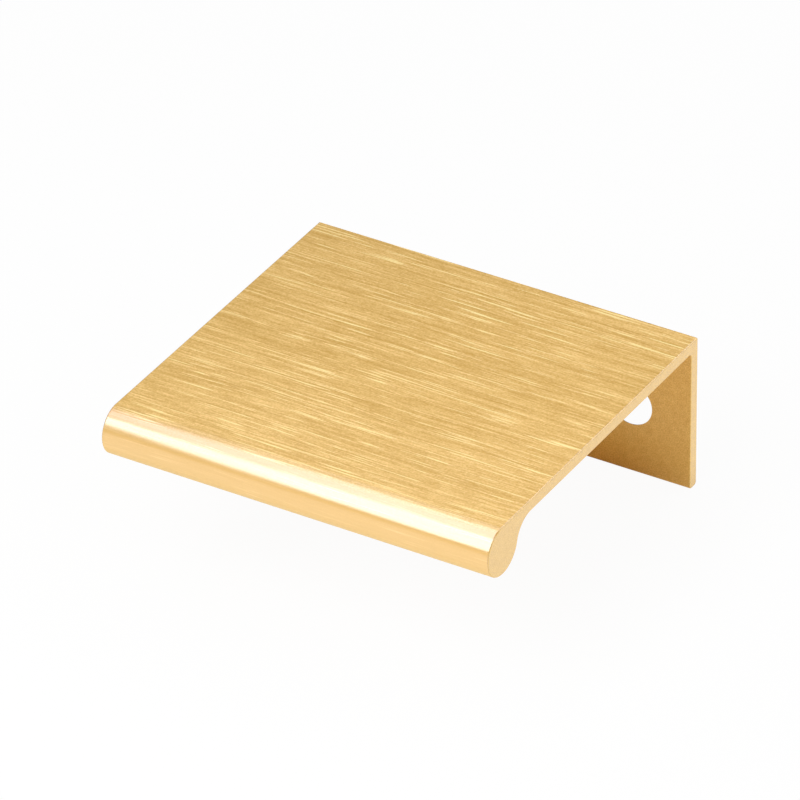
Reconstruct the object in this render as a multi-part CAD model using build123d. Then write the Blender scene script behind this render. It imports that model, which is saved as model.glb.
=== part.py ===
from build123d import *
import os
from math import radians, sqrt, tan

# Cabinet edge pull: one length of an extruded aluminium profile, cut off and drilled.
# The plate lies on the top edge of a door or drawer front, the flange is screwed to its
# back, and the rounded lip stands out in front for the fingers.
#
# Frame, in millimetres: the origin is midway between the two screw holes, on the flange's
# seating face. +X runs along the pull, +Y to the back of the door, +Z up.

# Overall sizes
length = 50.0
depth = 47.5
flange_height = 20.0

# Walls
plate_thickness = 1.5
flange_thickness = 1.5

# Lip: a nose arc runs on from the plate's top, a belly arc goes under it to the back, and
# a hollow blend arc brings it up to the plate's underside
nose_radius = 3.05
nose_sweep = 107.0
belly_radius = 3.3
blend_radius = 3.0

# Corners of the profile
outer_corner_radius = 0.3
inner_corner_radius = 0.5
free_edge_radius = 0.45

# Screw holes, countersunk from the back for a 4 mm flat head
hole_inset = 7.8
hole_diameter = 5.5
hole_land = 0.1
countersink_angle = 90.0

# Softened edge round both cut ends
end_break = 0.15

# Places that follow from the sizes
seat_y = 0.0
back_y = seat_y + flange_thickness
front_y = back_y - depth
hole_z = 0.0
top_z = hole_z + plate_thickness + (flange_height - plate_thickness) / 2
underside_z = top_z - plate_thickness
free_edge_z = top_z - flange_height
hole_spacing = length - 2 * hole_inset


def polar(distance, angle):
    """Offset in the profile's plane: angle in degrees, from +Y towards +Z."""
    return Vector(distance, 0).rotate(Axis.Z, angle)


def draw_lip():
    """Nose, belly and blend arcs, from the plate's top round to its underside."""
    straight_up = 90
    turn_angle = straight_up + nose_sweep
    nose_centre = Vector(front_y + nose_radius, top_z - nose_radius)
    nose_start = nose_centre + polar(nose_radius, straight_up)
    nose_end = nose_centre + polar(nose_radius, turn_angle)
    belly_centre = nose_end - polar(belly_radius, turn_angle)

    blend_z = underside_z - blend_radius
    centre_gap = belly_radius + blend_radius
    blend_y = belly_centre.X + sqrt(centre_gap**2 - (blend_z - belly_centre.Y) ** 2)
    blend_centre = Vector(blend_y, blend_z)
    belly_end = belly_centre + (blend_centre - belly_centre).normalized() * belly_radius
    blend_end = Vector(blend_y, underside_z)

    nose = TangentArc(nose_start, nose_end, tangent=(-1, 0))
    belly = TangentArc(nose_end, belly_end, tangent=nose % 1)
    TangentArc(belly_end, blend_end, tangent=belly % 1)
    return nose_start, blend_end


def draw_plate_and_flange(top_start, underside_start):
    """Straight walls, from the blend's end round the flange to the nose's start."""
    FilletPolyline(
        underside_start,
        (seat_y, underside_z),
        (seat_y, free_edge_z),
        (back_y, free_edge_z),
        (back_y, top_z),
        top_start,
        radius=[inner_corner_radius, free_edge_radius, free_edge_radius, outer_corner_radius],
    )


def make_profile():
    """Closed cross-section, drawn in the YZ plane."""
    with BuildSketch(Plane.YZ) as profile:
        with BuildLine():
            top_start, underside_start = draw_lip()
            draw_plate_and_flange(top_start, underside_start)
        make_face()
    return profile.sketch


def soften_ends(pull):
    """Round the sharp edge that the saw leaves round each end face."""
    ends = pull.faces().filter_by(Plane.YZ).sort_by(Axis.X)
    fillet(ends[0].edges() + ends[-1].edges(), radius=end_break)


def drill_screw_holes():
    """Two holes through the flange, with the countersink on the screw's side."""
    drill_depth = 2 * flange_thickness
    sink_depth = flange_thickness - hole_land
    hole_radius = hole_diameter / 2
    sink_radius = hole_radius + sink_depth * tan(radians(countersink_angle / 2))
    with Locations(Plane(origin=(0, back_y, hole_z), x_dir=(1, 0, 0), z_dir=(0, 1, 0))):
        with GridLocations(hole_spacing, 0, 2, 1):
            CounterSinkHole(
                radius=hole_radius,
                counter_sink_radius=sink_radius,
                depth=drill_depth,
                counter_sink_angle=countersink_angle,
            )


def make_edge_pull():
    with BuildPart() as pull:
        extrude(make_profile(), amount=length / 2, both=True)
        soften_ends(pull)
        drill_screw_holes()
    return pull.part


os.makedirs("parts", exist_ok=True)
export_step(make_edge_pull(), "parts/edge_pull.step")
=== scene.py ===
import math

import bmesh
import bpy
from mathutils import Matrix, Quaternion, Vector


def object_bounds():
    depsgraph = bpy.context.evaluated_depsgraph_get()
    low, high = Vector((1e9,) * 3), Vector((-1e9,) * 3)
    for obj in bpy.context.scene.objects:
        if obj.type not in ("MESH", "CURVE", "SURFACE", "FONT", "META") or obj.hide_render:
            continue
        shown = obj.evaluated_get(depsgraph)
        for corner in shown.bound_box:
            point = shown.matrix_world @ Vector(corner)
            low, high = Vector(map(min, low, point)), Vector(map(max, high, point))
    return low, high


# Edge pull in brushed gold aluminium, on a white table under studio softboxes.
# Lengths are in metres and angles in degrees. In the finish, places are in millimetres and
# a noise's cells are counted for each millimetre.

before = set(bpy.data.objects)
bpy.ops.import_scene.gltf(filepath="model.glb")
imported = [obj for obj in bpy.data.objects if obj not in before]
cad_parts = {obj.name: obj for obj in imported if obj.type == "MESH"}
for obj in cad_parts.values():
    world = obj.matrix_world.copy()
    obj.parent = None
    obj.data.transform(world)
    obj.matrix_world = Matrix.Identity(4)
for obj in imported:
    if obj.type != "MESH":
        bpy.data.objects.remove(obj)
cad_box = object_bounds()

# Camera, fitted to the photograph's straight edges
camera_azimuth = 30.94
camera_elevation = 33.20
camera_roll = 0.64
camera_distance = 0.9417
camera_aim = Vector((-0.00675, -0.01136, -0.00080))
sensor_width = 36.0
focal_length = 369.9

# Table and studio
table_radius = 4.0
table_sides = 96
table_albedo = 0.9
table_glow = 0.945
world_level = 0.19

# Painted shadow under the plate, seen only in reflections of the table: the white left in it, its
# middle and its half widths in millimetres, and the shares of those at which it starts to fade and
# is gone
shadow_glow = 0.08
shadow_middle = (2.0, 0.0, 0.0)
shadow_reach = (24.0, 10.0, 1.0)
shadow_fade = (0.5, 1.3)

# Softboxes: the point that each one faces, the direction and distance to it from there, how
# far it is turned in its own plane, its width and height, and its radiance
softboxes = {
    "front_softbox": {
        "aim": (0.0, -0.040, 0.005), "azimuth": -16.5, "elevation": 46.3, "distance": 0.270,
        "turn": 36.0, "width": 0.241, "height": 0.226, "radiance": 4.0,
    },
    "side_softbox": {
        "aim": (-0.250, -0.023, 0.0), "azimuth": 0.0, "elevation": 90.0, "distance": 0.556,
        "turn": -3.0, "width": 0.128, "height": 0.500, "radiance": 2.75,
    },
    "back_softbox": {
        "aim": (0.0, -0.020, 0.005), "azimuth": -178.9, "elevation": 54.6, "distance": 0.500,
        "turn": 0.0, "width": 0.536, "height": 0.221, "radiance": 0.85,
    },
    "edge_softbox": {
        "aim": (0.025, -0.020, 0.0), "azimuth": 145.0, "elevation": 28.0, "distance": 0.500,
        "turn": 0.0, "width": 0.350, "height": 0.300, "radiance": 1.7,
    },
    "right_softbox": {
        "aim": (0.025, -0.040, 0.0), "azimuth": 87.0, "elevation": 30.0, "distance": 0.500,
        "turn": 0.0, "width": 0.300, "height": 0.220, "radiance": 2.3,
    },
}

# Finish, with painted light on the shoulder and lip and painted shade inside: the mean colour of
# each zone, and what a dark and a bright streak do to it, the bright one partly a painted glint
top_gold = (0.83, 0.583, 0.178)
# Shoulder and lip: lighter than the top, partly a smoother finish and partly painted light
shoulder_gold_and_light = (0.885, 0.58, 0.235)
lip_gold_and_light = (0.885, 0.65, 0.255)
end_gold = (0.945, 0.59, 0.092)
# Inside: partly the matte finish and partly painted shade, darker under the plate than the back
inside_gold_and_shade = (0.75, 0.425, 0.070)
back_gold = (0.80, 0.52, 0.135)
dark_streak = (0.82, 0.735, 0.40)
# Bright streaks: a lighter grain, whitened partly as a painted glint of the oxide's reflection
bright_streak_and_glint = (1.34, 1.485, 2.35)

# Metal: its roughness in each zone, and its brushing along X, tilted a little so that it has a
# direction on the cut ends too
top_roughness = 0.80
belly_roughness = 0.90
matte_roughness = 0.43
brush_anisotropy = 0.80
brush_turn = 0.25
brush_direction = (1.0, 0.0, 0.01)

# Clear oxide over the metal, and how much of it covers each zone
oxide_ior = 2.4
oxide_roughness = 0.17
full_oxide = 1.0
belly_oxide = 0.6
inside_oxide = 0.25

# Grain: how much of it shows in each zone. All of it shows on the plate's top
full_contrast = 1.0
side_contrast = 0.35
belly_contrast = 0.12
inside_contrast = 0.6

# Height of the grain: its mean, what a scratch adds, the noise at which a scratch starts and is
# whole, the heights of a wholly dark and a wholly bright streak, and its relief in metres
middle_height = 0.5
scratch_height = 0.60
scratch_limits = (0.56, 0.74)
streak_limits = (0.2, 1.0)
bump_distance = 0.00002
bump_strength = 0.6

# Limits of the zones: how far the surface faces up, back or to the side where a zone starts and
# where it is whole, and the place in millimetres at which the lip starts and is whole
flat_limits = (0.90, 0.995)
shoulder_limits = (0.76, 0.86)
upward_limits = (0.35, 0.65)
frontward_limits = (-0.1, -0.8)
backward_limits = (0.2, 0.8)
cut_limits = (0.45, 0.80)
upper_limits = (0.42, 0.54)
oxide_limits = (0.36, 0.46)
belly_limits = (-0.55, -0.05)
lip_limits = (-38.0, -39.0)
millimetres = 1000.0


def add_node(tree, kind, inputs=None, **settings):
    """New shader node. settings are its properties, inputs are numbers or other nodes' outputs."""
    made = tree.nodes.new(kind)
    for name, value in settings.items():
        setattr(made, name, value)
    for name, value in (inputs or {}).items():
        if isinstance(value, bpy.types.NodeSocket):
            tree.links.new(value, made.inputs[name])
        else:
            made.inputs[name].default_value = value
    return made


def calculated(tree, operation, *values):
    """One step of arithmetic on numbers or outputs."""
    return add_node(tree, "ShaderNodeMath", dict(enumerate(values)), operation=operation).outputs[0]


def combined(tree, operation, *vectors):
    """One step of arithmetic on vectors or outputs."""
    inputs = dict(enumerate(vectors))
    return add_node(tree, "ShaderNodeVectorMath", inputs, operation=operation).outputs["Vector"]


def faded(tree, value, start, end):
    """0 where value is at start, 1 where it is at end, smooth between."""
    inputs = {"Value": value, "From Min": start, "From Max": end}
    return add_node(tree, "ShaderNodeMapRange", inputs, interpolation_type="SMOOTHSTEP").outputs[0]


def between(tree, share, first, second):
    """Number that goes from first to second with share."""
    inputs = {"Value": share, "To Min": first, "To Max": second}
    return add_node(tree, "ShaderNodeMapRange", inputs).outputs[0]


def blended(tree, share, first, second):
    """Colour that goes from first to second with share."""
    inputs = {"Fac": share, "Color1": first, "Color2": second}
    return add_node(tree, "ShaderNodeMixRGB", inputs).outputs["Color"]


def object_spot(tree):
    """Place on the object, in millimetres."""
    place = add_node(tree, "ShaderNodeTexCoord").outputs["Object"]
    return combined(tree, "MULTIPLY", place, (millimetres, millimetres, millimetres))


def grain(tree, spot, along, across, detail, share, under):
    """Noise about zero times its share, on top of what is under it, with cells long in X."""
    cells = combined(tree, "MULTIPLY", spot, (along, across, across))
    inputs = {"Vector": cells, "Scale": 1.0, "Detail": detail}
    value = add_node(tree, "ShaderNodeTexNoise", inputs).outputs["Fac"]
    raised = calculated(tree, "SUBTRACT", value, middle_height)
    return calculated(tree, "MULTIPLY_ADD", raised, share, under)


def direction(azimuth, elevation):
    """Unit vector to a place round the object: azimuth 0 is straight in front, 90 is at +X."""
    turn = math.radians(azimuth)
    rise = math.radians(elevation)
    level = math.cos(rise)
    return Vector((math.sin(turn) * level, -math.cos(turn) * level, math.sin(rise)))


def add_camera():
    """Camera at the photograph's angle, with its small roll."""
    back = direction(camera_azimuth, camera_elevation)
    right = Vector((0, 0, 1)).cross(back).normalized()
    up = back.cross(right)
    tilt = Matrix.Rotation(-math.radians(camera_roll), 3, back)
    right = tilt @ right
    up = tilt @ up
    lens = bpy.data.cameras.new("camera")
    lens.sensor_width = sensor_width
    lens.lens = focal_length
    camera = bpy.data.objects.new("camera", lens)
    placed = Matrix((right, up, back)).transposed().to_4x4()
    placed.translation = camera_aim + camera_distance * back
    camera.matrix_world = placed
    bpy.context.collection.objects.link(camera)
    bpy.context.scene.camera = camera


def reflected_white(tree):
    """Share of the table's white that is its own in reflections, less in a shadow painted under the
    plate.
    """
    across = combined(tree, "SUBTRACT", object_spot(tree), shadow_middle)
    reached = combined(tree, "DIVIDE", across, shadow_reach)
    length = add_node(tree, "ShaderNodeVectorMath", {0: reached}, operation="LENGTH")
    unshaded = faded(tree, length.outputs["Value"], *shadow_fade)
    return between(tree, unshaded, shadow_glow, table_glow)


def table_material():
    """White table. Most of its white is its own for the camera and for reflections; reflections see
    a painted shadow under the plate.
    """
    material = bpy.data.materials.new("white_table")
    material.use_nodes = True
    tree = material.node_tree
    tree.nodes.clear()
    path = add_node(tree, "ShaderNodeLightPath").outputs
    direct = calculated(tree, "ADD", path["Is Camera Ray"], path["Is Transmission Ray"])
    mirrored = calculated(tree, "MULTIPLY", path["Is Glossy Ray"], reflected_white(tree))
    share = calculated(tree, "MULTIPLY_ADD", direct, table_glow, mirrored)
    albedo = (table_albedo, table_albedo, table_albedo, 1)
    lit = add_node(tree, "ShaderNodeBsdfDiffuse", {"Color": albedo}).outputs[0]
    white = add_node(tree, "ShaderNodeEmission", {"Color": (1, 1, 1, 1), "Strength": 1.0}).outputs[0]
    surface = add_node(tree, "ShaderNodeMixShader", {0: share, 1: lit, 2: white}).outputs[0]
    add_node(tree, "ShaderNodeOutputMaterial", {"Surface": surface})
    return material


def add_table(height):
    """Round table top under the object."""
    shape = bmesh.new()
    bmesh.ops.create_circle(shape, cap_ends=True, radius=table_radius, segments=table_sides)
    mesh = bpy.data.meshes.new("table_top")
    shape.to_mesh(mesh)
    shape.free()
    mesh.materials.append(table_material())
    table_top = bpy.data.objects.new("table_top", mesh)
    table_top.location.z = height
    bpy.context.collection.objects.link(table_top)


def add_world():
    """Dim plain studio round the table."""
    world = bpy.data.worlds.new("studio")
    world.use_nodes = True
    background = world.node_tree.nodes["Background"]
    background.inputs["Color"].default_value = (world_level, world_level, world_level, 1)
    background.inputs["Strength"].default_value = 1.0
    bpy.context.scene.world = world


def add_softbox(name, aim, azimuth, elevation, distance, turn, width, height, radiance):
    """Rectangular area lamp that faces its aim, with the power that gives its radiance."""
    lamp = bpy.data.lights.new(name, "AREA")
    lamp.shape = "RECTANGLE"
    lamp.size = width
    lamp.size_y = height
    lamp.energy = radiance * math.pi * width * height
    softbox = bpy.data.objects.new(name, lamp)
    back = direction(azimuth, elevation)
    softbox.location = Vector(aim) + distance * back
    turned = Quaternion((0, 0, 1), math.radians(turn))
    softbox.rotation_euler = (back.to_track_quat("Z", "Y") @ turned).to_euler()
    softbox.visible_camera = False
    bpy.context.collection.objects.link(softbox)


def find_zones(tree, spot):
    """Share of each zone at a spot, from the way that the surface faces and the spot's place."""
    normal = add_node(tree, "ShaderNodeTexCoord").outputs["Normal"]
    facing = add_node(tree, "ShaderNodeSeparateXYZ", {"Vector": normal}).outputs
    place = add_node(tree, "ShaderNodeSeparateXYZ", {"Vector": spot}).outputs
    on_lip = faded(tree, place["Y"], *lip_limits)
    lip_front = calculated(tree, "MULTIPLY", faded(tree, facing["Y"], *frontward_limits), on_lip)
    outside = calculated(tree, "MAXIMUM", faded(tree, facing["Z"], *upward_limits), lip_front)
    cut_end = faded(tree, calculated(tree, "ABSOLUTE", facing["X"]), *cut_limits)
    uncut = calculated(tree, "SUBTRACT", 1.0, cut_end)
    not_under = faded(tree, facing["Z"], *belly_limits)
    return {
        "flat_top": faded(tree, facing["Z"], *flat_limits),
        "shoulder": faded(tree, facing["Z"], *shoulder_limits),
        "outside": outside,
        "brushed": calculated(tree, "MULTIPLY", outside, uncut),
        "cut_end": cut_end,
        "back": faded(tree, facing["Y"], *backward_limits),
        "upper": faded(tree, facing["Z"], *upper_limits),
        "thick_oxide": faded(tree, facing["Z"], *oxide_limits),
        "outside_not_under": calculated(tree, "MULTIPLY", outside, not_under),
    }


def brushing(tree, spot):
    """Height of the brushed grain: fine lines, brighter broken scratches, calmer in patches."""
    drift = grain(tree, spot, along=0.05, across=0.05, detail=1.0, share=0.7, under=0.0)
    offset = add_node(tree, "ShaderNodeCombineXYZ", {"Y": drift, "Z": drift}).outputs[0]
    wavy = combined(tree, "ADD", spot, offset)
    busy = grain(tree, spot, along=0.08, across=0.40, detail=2.0, share=2.0, under=1.0)
    height = grain(tree, wavy, along=0.035, across=2.4, detail=2.0, share=0.42, under=middle_height)
    height = grain(tree, wavy, along=0.35, across=4.5, detail=3.0, share=0.36, under=height)
    height = grain(tree, spot, along=4.0, across=6.0, detail=1.0, share=0.40, under=height)
    height = grain(tree, spot, along=0.12, across=0.5, detail=2.0, share=0.20, under=height)
    scratch = grain(tree, wavy, along=0.12, across=4.8, detail=3.0, share=1.0, under=middle_height)
    scratch = calculated(tree, "MULTIPLY", faded(tree, scratch, *scratch_limits), busy)
    return calculated(tree, "MULTIPLY_ADD", scratch, scratch_height, height)


def matting(tree, spot):
    """Height of the matte grain on the cut ends and inside."""
    height = grain(tree, spot, along=6.0, across=6.0, detail=3.0, share=1.6, under=middle_height)
    return grain(tree, spot, along=1.2, across=1.2, detail=2.0, share=0.5, under=height)


def grain_height(tree, spot, zones):
    """Height of the grain: whole on the plate's top, nearer to its mean elsewhere."""
    height = between(tree, zones["brushed"], matting(tree, spot), brushing(tree, spot))
    above_belly = calculated(tree, "MAXIMUM", zones["upper"], zones["cut_end"])
    outside_contrast = between(tree, above_belly, belly_contrast, side_contrast)
    seen = calculated(tree, "MAXIMUM", zones["outside"], zones["cut_end"])
    calm = between(tree, seen, inside_contrast, outside_contrast)
    contrast = between(tree, zones["flat_top"], calm, full_contrast)
    raised = calculated(tree, "SUBTRACT", height, middle_height)
    return calculated(tree, "MULTIPLY_ADD", raised, contrast, middle_height)


def gold_colour(tree, zones, height):
    """Mean colour of the zone, with painted light on the shoulder and lip and painted shade inside,
    darker and brighter with the grain, the bright streaks partly a painted glint.
    """
    # Painted light: the shoulder and lip colours are lighter than the top's
    lip_zone = blended(tree, zones["shoulder"], (*lip_gold_and_light, 1), (*shoulder_gold_and_light, 1))
    brushed_zone = blended(tree, zones["flat_top"], lip_zone, (*top_gold, 1))
    # Painted shade: the inside colour is darker than the back's
    matte_zone = blended(tree, zones["back"], (*inside_gold_and_shade, 1), (*back_gold, 1))
    zone = blended(tree, zones["outside"], matte_zone, brushed_zone)
    zone = blended(tree, zones["cut_end"], zone, (*end_gold, 1))
    share = faded(tree, height, *streak_limits)
    # Bright streaks are partly a painted glint
    streak = blended(tree, share, (*dark_streak, 1), (*bright_streak_and_glint, 1))
    return combined(tree, "MULTIPLY", zone, streak)


def gold_roughness(tree, zones):
    """Roughness of the metal: brushed outside, matte on the cut ends and inside."""
    brushed_roughness = between(tree, zones["upper"], belly_roughness, top_roughness)
    return between(tree, zones["brushed"], matte_roughness, brushed_roughness)


def oxide_weight(tree, zones):
    """Oxide's cover: whole on the top and the cut ends, thinner on the belly, least inside."""
    covered = calculated(tree, "MAXIMUM", zones["thick_oxide"], zones["cut_end"])
    outside_oxide = between(tree, covered, belly_oxide, full_oxide)
    seen = calculated(tree, "MAXIMUM", zones["outside_not_under"], zones["cut_end"])
    return between(tree, seen, inside_oxide, outside_oxide)


def brushed_gold():
    """Gold anodised aluminium: brushed along X outside, matte on the cut ends and inside, with
    painted light on the shoulder and lip and painted shade inside.
    """
    material = bpy.data.materials.new("brushed_gold_and_painted_light")
    material.use_nodes = True
    tree = material.node_tree
    tree.nodes.clear()
    spot = object_spot(tree)
    zones = find_zones(tree, spot)
    height = grain_height(tree, spot, zones)
    relief = {"Height": height, "Distance": bump_distance, "Strength": bump_strength}
    bump = add_node(tree, "ShaderNodeBump", relief).outputs[0]
    tangent = add_node(tree, "ShaderNodeCombineXYZ", dict(enumerate(brush_direction))).outputs[0]
    shader = add_node(tree, "ShaderNodeBsdfPrincipled", {
        "Base Color": gold_colour(tree, zones, height),
        "Metallic": 1.0,
        "Roughness": gold_roughness(tree, zones),
        "Normal": bump,
        "Anisotropic": brush_anisotropy,
        "Anisotropic Rotation": brush_turn,
        "Tangent": tangent,
        "Coat Weight": oxide_weight(tree, zones),
        "Coat Roughness": oxide_roughness,
        "Coat IOR": oxide_ior,
        "Coat Normal": bump,
    })
    add_node(tree, "ShaderNodeOutputMaterial", {"Surface": shader.outputs[0]})
    return material


def dress_pull():
    """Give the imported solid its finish."""
    finish = brushed_gold()
    for slot in bpy.data.objects["edge_pull"].material_slots:
        slot.material = finish


bpy.context.scene.view_settings.view_transform = "Standard"
add_camera()
add_world()
add_table(cad_box[0][2])
for name, settings in softboxes.items():
    add_softbox(name, **settings)
dress_pull()
